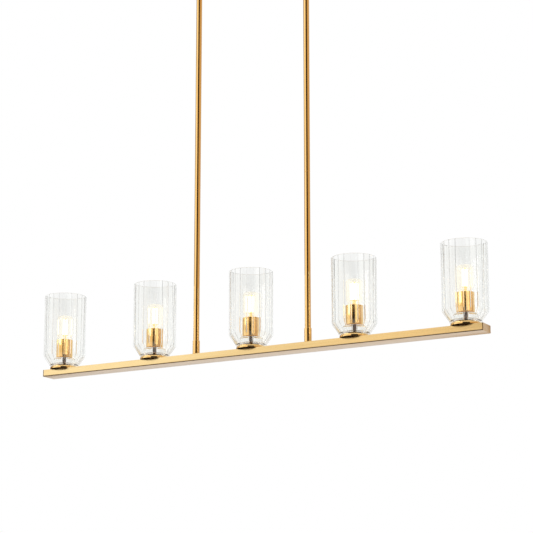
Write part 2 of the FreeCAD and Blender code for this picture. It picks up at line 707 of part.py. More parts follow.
def socket_cup(name):
    inside = "(dims.cup_radius - dims.cup_wall)"
    corners = [(THREAD_HOLE, "0"), ("dims.cup_radius - dims.cup_bevel", "0"),
               ("dims.cup_radius", "dims.cup_bevel"), ("dims.cup_radius", "dims.cup_rise"),
               (inside, "dims.cup_rise"), (inside, "dims.cup_wall + dims.cup_bevel"),
               (f"{inside} - dims.cup_bevel", "dims.cup_wall"), (THREAD_HOLE, "dims.cup_wall")]
    return turned(name, corners)


def lampholder(name):
    """Porcelain body: threaded floor, contact well, ledge and the bulb's bore."""
    bore = "(dims.bulb_cap_radius + dims.bulb_slack)"
    flange = "(dims.cup_radius - dims.cup_wall - dims.slip)"
    under = "(dims.holder_rise - dims.holder_flange)"
    corners = [(THREAD_HOLE, "0"), ("dims.holder_radius - dims.cup_bevel", "0"),
               ("dims.holder_radius", "dims.cup_bevel"), ("dims.holder_radius", under),
               (flange, under), (flange, "dims.holder_rise"), (bore, "dims.holder_rise"),
               (bore, "dims.ledge_level"), ("dims.contact_well", "dims.ledge_level"),
               ("dims.contact_well", "dims.holder_floor"), (THREAD_HOLE, "dims.holder_floor")]
    return turned(name, corners)


def bulb_base(name):
    """Screw cap: shell, insulator and centre contact. Drawn from the shell's lower edge."""
    tip = "-dims.bulb_tip"
    inside = "(dims.neck_radius + dims.thread_slip)"
    floor = "(dims.bulb_cap_rise - dims.bulb_tip)"
    corners = [("0", tip), ("dims.tip_radius", tip), ("dims.tip_radius", f"{tip} + dims.tip_rise"),
               ("dims.insulator_radius", "0"), ("dims.bulb_cap_radius", "0"),
               ("dims.bulb_cap_radius", "dims.bulb_cap_rise"), (inside, "dims.bulb_cap_rise"),
               (inside, floor), ("0", floor)]
    return turned(name, corners)


def bulb_glass(name):
    """Clear tubular envelope, open at the neck."""
    flare, full = "dims.neck_rise", "(dims.neck_rise + dims.flare_rise)"
    crown = f"({full} + dims.barrel_rise)"
    wall = "dims.bulb_wall"
    neck, barrel = f"(dims.neck_radius - {wall})", f"(dims.bulb_radius - {wall})"
    corners = [(neck, "0"), ("dims.neck_radius", "0"), ("dims.neck_radius", flare),
               ("dims.bulb_radius", full), ("dims.bulb_radius", crown), ("0", crown),
               ("0", f"{crown} - {wall}"), (barrel, f"{crown} - {wall}"), (barrel, full),
               (neck, flare)]
    body = turned(name, corners)
    fillet_ring(body, "dims.crown_round", "dims.bulb_radius", crown)
    fillet_ring(body, f"dims.crown_round - {wall}", barrel, f"{crown} - {wall}")
    return body


def bulb_filament(name):
    """Glass stem with its two spiders and the upright filament sticks."""
    spider = "(dims.filament_ring + dims.filament_radius + dims.spider_lip)"
    low = "(dims.neck_rise + dims.flare_rise)"
    under = f"({low} - dims.spider_thick)"
    corners = [("0", "0"), ("dims.stem_radius", "0"), ("dims.stem_radius", under),
               (spider, under), (spider, low), ("0", low)]
    body = turned(name, corners)
    spot = [("dims.filament_ring", "0")]
    sketch = circles(body, f"{name}_stick", "XY_Plane", spot, "dims.filament_radius", low)
    stick = pad(body, sketch, "dims.filament_rise")
    polar(body, stick, (origin_part(body, "Z_Axis"), [""]), "dims.filament_count")
    top = f"{low} + dims.filament_rise"
    pad(body, circles(body, f"{name}_crown", "XY_Plane", MIDDLE, spider, top), "dims.spider_thick")
    return body


LAMP_STACK = [(saucer, "0"), (shade, GLASS_FOOT), (socket_cup, CUP_FOOT),
              (lampholder, HOLDER_FOOT), (bulb_base, BULB_SHELL), (bulb_glass, BULB_FOOT),
              (bulb_filament, BULB_FOOT)]


def build():
    """Every node of the object, in the order that it goes together."""
    nodes = [mounting_strap(), canopy(), canopy_screws(), ground_screw(), swivel_nuts()]
    lower_foot = f"({BAR_TOP} + dims.ferrule_floor)"
    lower_length = "(dims.seam_level - dims.ferrule_floor)"
    for side, sign in SIDES.items():
        nodes += [
            swivel_seat(side, sign),
            swivel_ball(side, sign),
            rod(f"upper_rod_{side}", sign, SEAM, "dims.upper_rod"),
            rod(f"lower_rod_{side}", sign, lower_foot, lower_length),
            ferrule(side, sign),
            end_cap(side, sign),
        ]
    nodes += [rod_couplers(), bar_channel(), bar_cover(), cover_screws(), bar_nuts(),
              socket_nipples(), shade_washers()]
    for make, level in LAMP_STACK:
        nodes += one_per_lamp(make, level)
    return nodes


def check(nodes):
    """Stops before anything is written if a feature failed or a shape isn't sound."""
    for thing in doc.Objects:
        if "Invalid" in thing.State or "Error" in thing.State:
            raise RuntimeError(f"{thing.Name} failed: {thing.State}")
    for node in nodes:
        if node.Shape.isNull() or not node.Shape.isValid():
            raise RuntimeError(f"{node.Label} has no sound shape")


nodes = build()
doc.recompute()
check(nodes)
os.makedirs("parts", exist_ok=True)
for node in nodes:
    node.Shape.exportStep(f"parts/{node.Label}.step")
    print(f"{node.Label}: {len(node.Shape.Solids)} solid(s), {node.Shape.Volume:.0f} mm3")
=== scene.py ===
"""Looks of the island pendant: plated metal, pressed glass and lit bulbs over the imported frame.

Metres in Blender, but the shapes below are written in millimetres, as a maker would.
"""
import math

import bmesh
import bpy
from mathutils import Matrix, Vector

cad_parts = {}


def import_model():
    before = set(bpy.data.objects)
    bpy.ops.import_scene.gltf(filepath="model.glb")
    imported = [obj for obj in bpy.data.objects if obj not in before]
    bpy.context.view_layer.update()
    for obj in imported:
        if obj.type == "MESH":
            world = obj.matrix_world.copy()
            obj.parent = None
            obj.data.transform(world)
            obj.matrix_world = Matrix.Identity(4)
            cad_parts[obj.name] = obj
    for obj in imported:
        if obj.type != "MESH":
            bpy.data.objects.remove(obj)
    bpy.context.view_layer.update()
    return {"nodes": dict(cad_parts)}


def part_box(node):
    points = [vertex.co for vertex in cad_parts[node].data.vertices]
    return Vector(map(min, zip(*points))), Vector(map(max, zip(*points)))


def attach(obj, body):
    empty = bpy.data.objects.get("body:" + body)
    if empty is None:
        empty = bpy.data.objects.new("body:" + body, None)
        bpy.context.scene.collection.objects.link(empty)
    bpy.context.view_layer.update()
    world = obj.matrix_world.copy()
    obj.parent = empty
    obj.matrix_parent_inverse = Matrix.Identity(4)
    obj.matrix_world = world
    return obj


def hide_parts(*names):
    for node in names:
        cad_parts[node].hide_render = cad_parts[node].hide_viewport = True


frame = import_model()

MM = 0.001
LAMPS = range(1, 6)
SIDES = ("left", "right")


# ---------------------------------------------------------------- places from the frame
def foot_of(node):
    """The middle of a node's underside, in metres."""
    low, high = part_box(node)
    return Vector(((low.x + high.x) / 2, (low.y + high.y) / 2, low.z))


def size_of(node):
    """Length, depth and height of a node, in mm."""
    low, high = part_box(node)
    return (high - low) / MM


BAR_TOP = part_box("bar_channel")[1].z
BAR_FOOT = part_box("bar_cover")[0].z


def lamp_foot(index):
    """Where a lamp's axis meets the top of the bar."""
    return Vector((foot_of(f"saucer_{index}").x, 0, BAR_TOP))


def rod_foot(side):
    """Where a rod's axis meets the top of the bar."""
    return Vector((foot_of(f"lower_rod_{side}").x, 0, BAR_TOP))


# ---------------------------------------------------------------- materials
def colour(code):
    """An sRGB hex value as linear red, green, blue and alpha."""
    shares = [int(code[i:i + 2], 16) / 255 for i in (1, 3, 5)]
    return [s / 12.92 if s <= 0.04045 else ((s + 0.055) / 1.055) ** 2.4 for s in shares] + [1]


def add(tree, kind, inputs=None, **settings):
    """Adds a node, sets what is named and fills its sockets with values or links."""
    made = tree.nodes.new("ShaderNode" + kind)
    for name, value in settings.items():
        setattr(made, name, value)
    for name, value in (inputs or {}).items():
        if isinstance(value, bpy.types.NodeSocket):
            tree.links.new(value, made.inputs[name])
        else:
            made.inputs[name].default_value = value
    return made


def new_material(name, **constants):
    """A principled material. Each constant is a socket's name with _ for its spaces."""
    material = bpy.data.materials.new(name)
    material.use_nodes = True
    tree = material.node_tree
    tree.nodes.clear()
    shader = add(tree, "BsdfPrincipled")
    for socket, value in constants.items():
        shader.inputs[socket.replace("_", " ")].default_value = value
    add(tree, "OutputMaterial", {"Surface": shader.outputs["BSDF"]})
    return material, tree, shader


def cloudy(tree, size, stretch=(1, 1, 1), detail=2):
    """A pattern of lumps of that size in mm, drawn out by a factor along each axis."""
    place = add(tree, "TexCoord").outputs["Object"]
    scale = [1 / (size * MM * factor) for factor in stretch]
    scaled = add(tree, "Mapping", {"Vector": place, "Scale": scale}).outputs["Vector"]
    return add(tree, "TexNoise", {"Vector": scaled, "Scale": 1, "Detail": detail}).outputs[0]


def vary(tree, shader, pattern, colours=None, socket="Base Color", roughness=None, relief=0):
    """Lets a pattern drive a colour, the roughness and a relief of some mm."""
    if colours:
        first, second = [colour(code) for code in colours]
        mixed = add(tree, "Mix", {0: pattern, 6: first, 7: second}, data_type="RGBA")
        tree.links.new(mixed.outputs[2], shader.inputs[socket])
    if roughness:
        low, high = roughness
        # A noise pattern hardly leaves 0.3 to 0.7, so that range is spread over the two ends.
        ramp = add(tree, "MapRange", {"Value": pattern, "From Min": 0.3, "From Max": 0.7,
                                      "To Min": low, "To Max": high})
        tree.links.new(ramp.outputs["Result"], shader.inputs["Roughness"])
    if relief:
        raised = add(tree, "Bump", {"Height": pattern, "Distance": relief * MM})
        tree.links.new(raised.outputs["Normal"], shader.inputs["Normal"])


def drawn_brass():
    """Polished brass plate on drawn tube: a clean mirror, with faint lines up its length."""
    material, tree, shader = new_material("polished_brass_plate", Metallic=1)
    vary(tree, shader, cloudy(tree, 7, (1, 1, 6)), ("#EFC682", "#F4CE8C"))
    vary(tree, shader, cloudy(tree, 0.8, (1, 1, 30)), roughness=(0.05, 0.09))
    return material


def brushed_brass():
    """Brushed brass plate: pale gold, with fine lines along the bar that soften its shine.

    The real lines are 0.1 to 0.3 mm apart. The broad ones are drawn 1.2 mm apart to show.
    """
    material, tree, shader = new_material("brushed_brass_plate", Metallic=1)
    vary(tree, shader, cloudy(tree, 1.2, (90, 1, 1), 4), ("#E6C78C", "#F9E0AA"))
    vary(tree, shader, cloudy(tree, 0.3, (150, 1, 1)), roughness=(0.24, 0.36), relief=0.004)
    return material


def satin_brass(name, colours):
    """Satin brass plate: blasted and lacquered, with no lines and a soft even glow."""
    material, tree, shader = new_material(name, Metallic=1)
    vary(tree, shader, cloudy(tree, 25), colours)
    vary(tree, shader, cloudy(tree, 0.5), roughness=(0.27, 0.35), relief=0.003)
    return material


def patchy_metal(name, colours, roughness):
    """Metal left as the plating bath or the air made it: dull, with small cloudy patches."""
    material, tree, shader = new_material(name, Metallic=1)
    vary(tree, shader, cloudy(tree, 3, detail=4), colours, roughness=roughness)
    return material


def green_dip():
    """Green dip on the earth screw: thin, so that the zinc still shines through."""
    material, tree, shader = new_material("green_dip", Metallic=0.6)
    vary(tree, shader, cloudy(tree, 1), ("#1F6B35", "#2E8547"), roughness=(0.3, 0.45))
    return material


def pressed_glass():
    """Pressed soda-lime glass: clear and almost white, with a faint grey in its depth."""
    material, tree, shader = new_material(
        "pressed_glass", Roughness=0, IOR=1.5, Transmission_Weight=1)
    vary(tree, shader, cloudy(tree, 12, (1, 1, 3), 0), ("#FAFBF9", "#FDFDFC"))
    return material


def blown_glass():
    """Blown bulb glass: thin and clear, with a faint warm painted glow in the glass itself that
    stands in for the light of the sticks inside.
    """
    material, tree, shader = new_material(
        "blown_bulb_glass", Base_Color=colour("#FFFDF8"), IOR=1.22, Transmission_Weight=1,
        Emission_Color=colour("#FFF3DC"), Emission_Strength=0.03)
    vary(tree, shader, cloudy(tree, 15), roughness=(0.02, 0.06))
    return material


def lit_phosphor():
    """Lit filament stick: a yellow phosphor coat so bright that it burns out to white."""
    material, tree, shader = new_material(
        "lit_phosphor", Base_Color=colour("#F3C55A"), Roughness=0.6, Emission_Strength=3.4)
    vary(tree, shader, cloudy(tree, 1.2), ("#FFEDC4", "#FFF8E2"), "Emission Color")
    return material


def stem_with_painted_glow():
    """Glass stem and its support, with a painted golden glow of their own beside the lit sticks.
    """
    material, tree, shader = new_material("stem_painted_glow", Roughness=0.25,
                                          Emission_Strength=0.7)
    vary(tree, shader, cloudy(tree, 2, (1, 1, 0.4)), ("#F6D58C", "#FFF0C8"))
    vary(tree, shader, cloudy(tree, 2, (1, 1, 0.4)), ("#E8A94A", "#FFE9B0"), "Emission Color")
    return material


def porcelain():
    """Glazed porcelain: off-white under a wet gloss."""
    material, tree, shader = new_material("glazed_porcelain", Coat_Weight=0.6)
    vary(tree, shader, cloudy(tree, 2.5), ("#EDEAE2", "#F6F4EE"), roughness=(0.2, 0.32))
    return material


def silicone():
    """Moulded silicone: milky and soft, letting some light through."""
    material, tree, shader = new_material("moulded_silicone", IOR=1.41,
                                          Transmission_Weight=0.7)
    vary(tree, shader, cloudy(tree, 1.5), ("#E4E4DF", "#F2F2EE"), roughness=(0.35, 0.5))
    return material


BRASS = drawn_brass()
BAR_BRASS = brushed_brass()
# The stamped canopy is a plain warm gold.
CANOPY_BRASS = satin_brass("satin_brass_plate", ("#E9C588", "#F0CE94"))
# The cover and the end plates are satin copies of the brass in a paler, greyer tint than the
# brushed front. The tint paints how their faces turned down and to the ends catch the light.
UNDERSIDE = satin_brass("satin_underside", ("#DCC9B4", "#E6D6C3"))
END_BRASS = satin_brass("satin_end_plate", ("#DCC6A8", "#E6D2B6"))
# Painted shade: a near-black brown on cut edges, seams and insides. It draws the dark lines and
# the dark underside that shade makes there.
PAINTED_SHADE_BRASS = patchy_metal("painted_shade_brass", ("#3E2A1A", "#5A3E26"), (0.35, 0.5))
# The bare thread is a dark brown, partly its own colour and partly painted shade for the dark
# column down the middle of the clear seat of the glass.
THREAD = patchy_metal("bare_brass_thread", ("#6E4A2C", "#8F6540"), (0.25, 0.4))
# Zinc is a cool grey and nickel a warmer and smoother one.
ZINC = patchy_metal("zinc_plate", ("#B9BEC2", "#D3D6D8"), (0.28, 0.42))
NICKEL = patchy_metal("nickel_plate", ("#C9C4BB", "#DEDAD2"), (0.15, 0.25))
GREEN = green_dip()
SHADE_GLASS = pressed_glass()
BULB_GLASS = blown_glass()
PHOSPHOR = lit_phosphor()
STEM = stem_with_painted_glow()
PORCELAIN = porcelain()
SILICONE = silicone()


# ---------------------------------------------------------------- mesh helpers
def rounded(corners, parts=6):
    """Replaces each corner (radius, height, round) of a closed outline by an arc."""
    points = []
    for index, (u, v, *size) in enumerate(corners):
        here = Vector((u, v))
        if not size:
            points.append(here)
            continue
        before = Vector(corners[index - 1][:2]) - here
        after = Vector(corners[(index + 1) % len(corners)][:2]) - here
        half = before.angle(after) / 2
        reach = size[0] / math.tan(half)
        middle = (before.normalized() + after.normalized()).normalized()
        centre = here + middle * (size[0] / math.sin(half))
        start = here + before.normalized() * reach - centre
        sweep = start.angle_signed(here + after.normalized() * reach - centre)
        for part in range(parts + 1):
            points.append(centre + Matrix.Rotation(-sweep * part / parts, 2) @ start)
    return points


def threaded(radius, low, high, pitch, depth):
    """Corners up the outside of a thread, drawn as rings."""
    corners = []
    for ring in range(round((high - low) / pitch)):
        foot = low + ring * pitch
        corners += [(radius - depth, foot), (radius, foot + pitch / 2)]
    return corners + [(radius - depth, high)]


def lathe(points, steps=72):
    """Spins a closed outline of (radius, height) in mm about the Z axis."""
    shape = bmesh.new()
    verts = [shape.verts.new((max(u, 0) * MM, 0, v * MM)) for u, v in points]
    edges = [shape.edges.new(pair) for pair in zip(verts, verts[1:] + verts[:1])]
    bmesh.ops.spin(shape, geom=verts + edges, cent=(0, 0, 0), axis=(0, 0, 1),
                   angle=math.tau, steps=steps, use_merge=True)
    bmesh.ops.remove_doubles(shape, verts=shape.verts, dist=0.0001 * MM)
    bmesh.ops.dissolve_degenerate(shape, edges=shape.edges, dist=0.0001 * MM)
    bmesh.ops.recalc_face_normals(shape, faces=shape.faces)
    return shape


def section(corners, start, end):
    """Draws a section (y, z) in mm along the bar from one x to another."""
    shape = bmesh.new()
    verts = [shape.verts.new((start * MM, y * MM, z * MM)) for y, z in corners]
    face = shape.faces.new(verts)
    drawn = bmesh.ops.extrude_face_region(shape, geom=[face])["geom"]
    moved = [part for part in drawn if isinstance(part, bmesh.types.BMVert)]
    bmesh.ops.translate(shape, vec=((end - start) * MM, 0, 0), verts=moved)
    bmesh.ops.recalc_face_normals(shape, faces=shape.faces)
    return shape


def soften(shape, wanted, size, segments=3):
    """Rounds the edges whose two ends both pass a test, which gets them in mm."""
    chosen = [edge for edge in shape.edges if all(wanted(vert.co / MM) for vert in edge.verts)]
    bmesh.ops.bevel(shape, geom=chosen, offset=size * MM, segments=segments, profile=0.5,
                    affect="EDGES", material=-1)


def join(whole, part):
    """Adds the mesh of a part to a whole, and lets the part go."""
    spare = bpy.data.meshes.new("spare")
    part.to_mesh(spare)
    part.free()
    whole.from_mesh(spare)
    bpy.data.meshes.remove(spare)


def new_object(name, shape, material):
    """An object of that shape at the origin. The shape's own data is let go."""
    mesh = bpy.data.meshes.new(name)
    shape.to_mesh(mesh)
    shape.free()
    mesh.materials.append(material)
    made = bpy.data.objects.new(name, mesh)
    bpy.context.collection.objects.link(made)
    return made


def piece(name, shape, place, material, body, replaced=(), sharp=35):
    """Makes a finished shape a piece of its body, smooth but for its sharp edges."""
    bmesh.ops.translate(shape, vec=place, verts=shape.verts)
    made = new_object(name, shape, material)
    for face in made.data.polygons:
        face.use_smooth = True
    made.data.set_sharp_from_angle(angle=math.radians(sharp))
    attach(made, body)
    if replaced:
        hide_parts(*replaced)
    return made


def paint_shade(made, wanted):
    """Paints the faces that pass a test near-black brown, as painted shade."""
    made.data.materials.append(PAINTED_SHADE_BRASS)
    for face in made.data.polygons:
        if wanted(face):
            face.material_index = 1


# ---------------------------------------------------------------- glass shades
GLASS = {"radius": 53.5, "rise": 181, "wall": 3.6, "foot": 36, "taper": 26, "floor": 5,
         "boss": 27, "boss_rise": 19.2, "hole": 5}
FLUTES = 20
FLUTE_DEPTH = 0.7
FLUTE_STEPS = 24  # facets to a flute
RIDGE_HALF = 0.08  # half the ridge between two flutes as a share of their pitch
FLUTE_FADE = (6, 12)  # heights between which the flutes grow out of the floor


def glass_outside(height):
    """Radius of the plain outer wall at a height above the foot, in mm."""
    share = min(height / GLASS["taper"], 1)
    return GLASS["foot"] + (GLASS["radius"] - GLASS["foot"]) * share


def flute_depth(turn, height):
    """How far the inner wall is pressed out at an angle, fading in above the floor."""
    start, full = FLUTE_FADE
    fade = min(max((height - start) / (full - start), 0), 1)
    from_ridge = abs((turn / math.tau * FLUTES + 0.5) % 1 - 0.5) / RIDGE_HALF
    return FLUTE_DEPTH * fade * (1 - math.cos(math.pi * min(from_ridge, 1))) / 2


def press_flutes(shape):
    """Presses the flutes into the inside of a plain glass, clear of its raised seat."""
    for vert in shape.verts:
        spot = vert.co / MM
        radius = spot.xy.length
        if radius <= GLASS["boss"] + 1 or spot.z <= FLUTE_FADE[0]:
            continue
        if radius < glass_outside(spot.z) - GLASS["wall"] / 2:
            depth = flute_depth(math.atan2(spot.y, spot.x), spot.z)
            vert.co.xy = spot.xy.normalized() * (radius + depth) * MM


def shade(index):
    """Pressed glass with a softened rim and shoulder, plain outside and fluted inside."""
    inside = GLASS["radius"] - GLASS["wall"]
    corners = [
        (GLASS["hole"], 0, 0.4), (GLASS["foot"], 0, 2.5), (GLASS["radius"], GLASS["taper"], 9),
        (GLASS["radius"], GLASS["rise"], 1.5), (inside, GLASS["rise"], 1.2),
        (inside, GLASS["taper"] + 1, 8), (GLASS["foot"] - GLASS["wall"], GLASS["floor"], 1.8),
        (GLASS["boss"], GLASS["floor"], 1.8), (GLASS["boss"], GLASS["boss_rise"], 2.5),
        (GLASS["hole"], GLASS["boss_rise"], 0.4),
    ]
    shape = lathe(rounded(corners), FLUTES * FLUTE_STEPS)
    press_flutes(shape)
    node = f"shade_{index}"
    piece(f"fluted_shade_{index}", shape, foot_of(node), SHADE_GLASS, "hanger",
          [node], sharp=30)


# ---------------------------------------------------------------- bulbs
BULB_NECK = 12.3
BULB_WALL = 0.7
FLARE = (16, 28)  # heights above the bulb's foot where the flare starts and ends
CROWN_RISE = 4  # how far the crown domes up in its middle
STICK_RING = 5.2  # radius of the circle that the sticks stand on
STICK_RADIUS = 1
STICKS = 4
STICK_RISE = (28, 68)
SPIDER = 6.7  # radius of the two discs that hold the sticks
CAP_RADIUS = 13.05
CAP_PITCH = 3.6  # that of a medium screw cap


def envelope(index):
    """Tubular bulb with a domed crown."""
    node = f"bulb_glass_{index}"
    width, _, rise = size_of(node)
    radius, wall = width / 2, BULB_WALL
    start, full = FLARE
    edge = rise - CROWN_RISE
    corners = [
        (BULB_NECK, 0), (BULB_NECK, start, 8), (radius, full, 10), (radius, edge, 9),
        (0, rise), (0, rise - wall), (radius - wall, edge - wall, 8.5),
        (radius - wall, full, 9.5), (BULB_NECK - wall, start, 8), (BULB_NECK - wall, 0),
    ]
    piece(f"bulb_envelope_{index}", lathe(rounded(corners)), foot_of(node), BULB_GLASS,
          f"bulb_{index}", [node])


def filament(index):
    """Flared stem with two spiders, and the lit sticks that stand between them."""
    node, body = f"bulb_filament_{index}", f"bulb_{index}"
    low, high = STICK_RISE
    stem = [(0, 0), (9, 0, 0.5), (6.5, 5, 3), (4, 13, 5), (4, low - 2, 1), (SPIDER, low - 1, 0.4),
            (SPIDER, low, 0.4), (1.2, low), (1.2, high), (SPIDER, high, 0.4),
            (SPIDER, high + 1, 0.4), (0, high + 1)]
    piece(f"bulb_stem_{index}", lathe(rounded(stem), 40), foot_of(node), STEM, body,
          [node])
    sticks = bmesh.new()
    outline = [(0, low), (STICK_RADIUS, low, 0.3), (STICK_RADIUS, high, 0.3), (0, high)]
    for number in range(STICKS):
        stick = lathe(rounded(outline, 2), 14)
        bmesh.ops.translate(stick, vec=(STICK_RING * MM, 0, 0), verts=stick.verts)
        turn = Matrix.Rotation(math.tau * number / STICKS, 3, "Z")
        bmesh.ops.rotate(stick, cent=(0, 0, 0), matrix=turn, verts=stick.verts)
        join(sticks, stick)
    lit = piece(f"lit_sticks_{index}", sticks, foot_of(node), PHOSPHOR, body)
    lit.visible_glossy = False


def screw_cap(index):
    """Nickel screw shell with its rolled thread, over a dark insulator and a contact."""
    node = f"bulb_base_{index}"
    outline = [(0, 0), (3.4, 0), (4.4, 1), (4.4, 1.5), (10.4, 5)]
    outline += threaded(CAP_RADIUS, 5.2, 23.2, CAP_PITCH, 1.1)
    outline += [(CAP_RADIUS, 23.8), (CAP_RADIUS, 25.5), (12.35, 25.5), (12.35, 20.5), (0, 20.5)]
    piece(f"screw_cap_{index}", lathe(outline), foot_of(node), NICKEL, f"bulb_{index}",
          [node], sharp=60)


# ---------------------------------------------------------------- lamps
THREAD_RADIUS = 4.9
THREAD_PITCH = 0.94  # that of a 27 to the inch lamp thread
THREAD_TAIL = -9  # below the top of the bar
WIRE_BORE = 3.2


def saucer(index):
    """Spun saucer: a flat top, a full round edge, a hub that stands on the bar, and an inside and
    underside painted near-black brown as painted shade."""
    node = f"saucer_{index}"
    foot = foot_of(node)
    width, _, rise = size_of(node)
    radius, wall = width / 2, 1.3
    roof = rise - wall
    corners = [(5, 0), (9, 0, 0.5), (9, roof, 0.5), (radius - wall, roof, 3.7),
               (radius - wall, 0, 0.5), (radius, 0, 0.5), (radius, rise, 5), (5, rise)]
    made = piece(f"spun_saucer_{index}", lathe(rounded(corners), 96), foot, BRASS,
                 "hanger", [node])

    def under_painted_shade(face):
        """Whether a face is under the roof, inside the wall or turned down."""
        spot = (face.center - foot) / MM
        inside = spot.xy.length < radius - wall + 0.1 and spot.z < roof + 0.1
        return inside or face.normal.z < -0.5

    # Painted shade: the inside and the faces turned down get the near-black brown.
    paint_shade(made, under_painted_shade)


def nipple(index):
    """Hollow threaded nipple up the middle of the lamp."""
    top = 37.3
    outline = [(WIRE_BORE, THREAD_TAIL)]
    outline += threaded(THREAD_RADIUS, THREAD_TAIL, top, THREAD_PITCH, 0.45)
    outline += [(WIRE_BORE, top)]
    piece(f"threaded_nipple_{index}", lathe(outline, 32), lamp_foot(index), THREAD, "hanger",
          ["socket_nipples"], sharp=60)


def cup(index):
    """Spun cup with a turned lip and a softened lower edge."""
    node = f"socket_cup_{index}"
    width, _, rise = size_of(node)
    radius, wall = width / 2, 1.2
    corners = [(5, 0, 0.3), (radius, 0, 2.8), (radius, rise, 0.55), (radius - wall, rise, 0.55),
               (radius - wall, wall, 1.8), (5, wall, 0.3)]
    piece(f"spun_cup_{index}", lathe(rounded(corners)), foot_of(node), BRASS, "hanger",
          [node])


# ---------------------------------------------------------------- ferrules and canopy screws
KNOB_RADIUS = 6.5
KNOB_HEAD = 8
KNOB_SHANK = 2
KNURLS = 24
KNURL_DEPTH = 0.04  # as a share of the radius


def ferrule(side):
    """Turned collar with a tapered foot, on a spigot through the bar."""
    corners = [(WIRE_BORE, THREAD_TAIL), (THREAD_RADIUS, THREAD_TAIL, 0.4), (THREAD_RADIUS, 0),
               (6.4, 0, 0.3), (8.6, 4, 0.8), (8.6, 36, 0.6), (7.2, 36, 0.1), (7.2, 8),
               (WIRE_BORE, 8)]
    piece(f"turned_ferrule_{side}", lathe(rounded(corners)), rod_foot(side), BRASS,
          "hanger", [f"ferrule_{side}"])


def knob(length):
    """A screw with a knurled head that points down, of that length in mm."""
    corners = [(0, 0), (4.4, 0, 0.6), (KNOB_RADIUS, 1.8, 0.6), (KNOB_RADIUS, KNOB_HEAD - 0.6, 0.4),
               (KNOB_RADIUS - 0.6, KNOB_HEAD), (KNOB_SHANK, KNOB_HEAD), (KNOB_SHANK, length),
               (0, length)]
    shape = lathe(rounded(corners), 4 * KNURLS)
    for vert in shape.verts:
        spot = vert.co / MM
        if spot.xy.length > KNOB_RADIUS - 0.2:
            wave = math.cos(math.atan2(spot.y, spot.x) * KNURLS)
            vert.co.xy *= 1 - KNURL_DEPTH * (1 + wave) / 2
    return shape


def knobs():
    """The two canopy screws, which are one piece."""
    node = "canopy_screws"
    low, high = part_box(node)
    both = bmesh.new()
    for across in (low.x + KNOB_RADIUS * MM, high.x - KNOB_RADIUS * MM):
        screw = knob((high.z - low.z) / MM)
        bmesh.ops.translate(screw, vec=(across, 0, low.z), verts=screw.verts)
        join(both, screw)
    piece("knurled_screws", both, (0, 0, 0), BRASS, "canopy", [node])


# ---------------------------------------------------------------- bar
FOLD = 0.5  # outer radius where the sheet of the bar is folded
BAR_HALF = size_of("bar_channel").y / 2
BAR_RISE = (BAR_TOP - BAR_FOOT) / MM
BAR_WALL = 2
INNER_HALF = BAR_HALF - BAR_WALL
CHANNEL_HALF = size_of("bar_channel").x / 2
COVER_SHEET = 1.2
COVER_LIP = 9
SHADOW_GAP = 0.9  # open line between the channel and its cover
SLIP = 0.1  # room where one part of the bar slides into another
WEB_HALF = INNER_HALF - SLIP - COVER_SHEET
CAP_THICK = (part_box("end_cap_right")[1].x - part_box("bar_channel")[1].x) / MM
TONGUE_REACH = 10


def at_sides(spot):
    """Whether a spot is on the front or the rear of the bar."""
    return abs(spot.y) > BAR_HALF - 0.1


def channel():
    """Folded channel: the bar's top and its two sides."""
    half, inner = BAR_HALF, INNER_HALF
    under = COVER_SHEET + SHADOW_GAP - BAR_RISE
    shape = section([(-half, 0), (-half, under), (-inner, under), (-inner, -BAR_WALL),
                     (inner, -BAR_WALL), (inner, under), (half, under), (half, 0)],
                    -CHANNEL_HALF, CHANNEL_HALF)
    soften(shape, at_sides, FOLD)
    piece("folded_channel", shape, (0, 0, BAR_TOP), BAR_BRASS, "hanger",
          ["bar_channel"])


def tray():
    """Bottom tray with upturned lips inside the channel. All but its underside is painted
    near-black brown as painted shade, which draws the dark line at the seam and along its edges.
    """
    half, flange, web = BAR_HALF, INNER_HALF - SLIP, WEB_HALF
    top = COVER_SHEET - BAR_RISE
    shape = section([(-half, -BAR_RISE), (half, -BAR_RISE), (half, top), (flange, top),
                     (flange, top + COVER_LIP), (web, top + COVER_LIP), (web, top), (-web, top),
                     (-web, top + COVER_LIP), (-flange, top + COVER_LIP), (-flange, top),
                     (-half, top)],
                    SLIP - CHANNEL_HALF, CHANNEL_HALF - SLIP)
    soften(shape, at_sides, FOLD / 2, 2)
    made = piece("bottom_tray", shape, (0, 0, BAR_TOP), UNDERSIDE, "hanger",
                 ["bar_cover"])
    above = BAR_FOOT + (COVER_SHEET + SLIP) * MM
    # Painted shade: the lips seen through the seam and the cut edges go near-black brown.
    paint_shade(made, lambda face: face.center.z > above or abs(face.normal.y) > 0.9)


def end_plate(side, sign):
    """Plate over the end of the bar, with a tongue inside and its front and rear edges in painted
    shade, a dark line at each corner.
    """
    half, wide = BAR_HALF, WEB_HALF - SLIP
    start, end = CHANNEL_HALF * sign, (CHANNEL_HALF + CAP_THICK) * sign
    plate = section([(-half, 0), (-half, -BAR_RISE), (half, -BAR_RISE), (half, 0)], start, end)
    soften(plate, lambda spot: True, 0.3, 2)
    top, foot = -BAR_WALL - SLIP, -2 * BAR_WALL - SLIP
    tongue = section([(-wide, top), (-wide, foot), (wide, foot), (wide, top)],
                     start, start - TONGUE_REACH * sign)
    join(plate, tongue)
    made = piece(f"end_plate_{side}", plate, (0, 0, BAR_TOP), END_BRASS, "hanger",
                 [f"end_cap_{side}"])
    # Painted shade: the front and rear edges go near-black brown.
    paint_shade(made, lambda face: abs(face.normal.y) > 0.5)


# ---------------------------------------------------------------- all the pieces
def dress(material, *nodes):
    """Gives CAD nodes that stay as they are their finish."""
    for node in nodes:
        for slot in frame["nodes"][node].material_slots:
            slot.material = material


